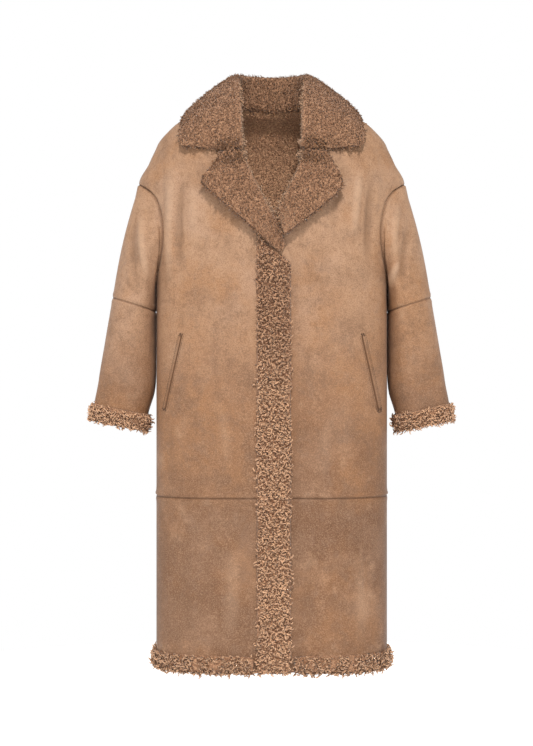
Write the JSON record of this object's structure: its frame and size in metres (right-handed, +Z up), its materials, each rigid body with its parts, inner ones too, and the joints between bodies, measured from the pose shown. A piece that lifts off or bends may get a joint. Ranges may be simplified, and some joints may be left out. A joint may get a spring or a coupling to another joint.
{
  "type": "long double-faced shearling-look coat",
  "caption": "Long straight coat, suede outside, with a pile-faced collar and lapels and curly pile bands on front edge, hem and cuffs, standing hollow as worn.",
  "frame": {"origin": "middle of the neck base, between the shoulder seams, where the wearer holds the coat up", "axes": "+Z up, the front faces -Y, +X is the wearer's left"},
  "size_m": [0.7494, 0.2753, 1.2192],
  "materials": {
    "suede": "mottled, lightly worn suede with a soft sheen",
    "welt_suede": "suede folded into a narrow welt",
    "short_pile": "short dense curly pile, matt",
    "long_pile": "long loose curly pile, matt"
  },
  "bodies": {
    "root": {"back_lower": "suede", "back_upper": "suede", "collar": "short_pile", "cuff_trim_left": "long_pile", "cuff_trim_right": "long_pile", "front_left_lower": "suede", "front_left_upper": "suede", "front_right_lower": "suede", "front_right_upper": "suede", "hem_trim_back": "long_pile", "hem_trim_left": "long_pile", "hem_trim_right": "long_pile", "lapel_left": "short_pile", "lapel_right": "short_pile", "placket_trim": "long_pile", "pocket_welt_left": "welt_suede", "pocket_welt_right": "welt_suede", "sleeve_left_lower": "suede", "sleeve_left_upper": "suede", "sleeve_right_lower": "suede", "sleeve_right_upper": "suede"}
  },
  "joints": []
}
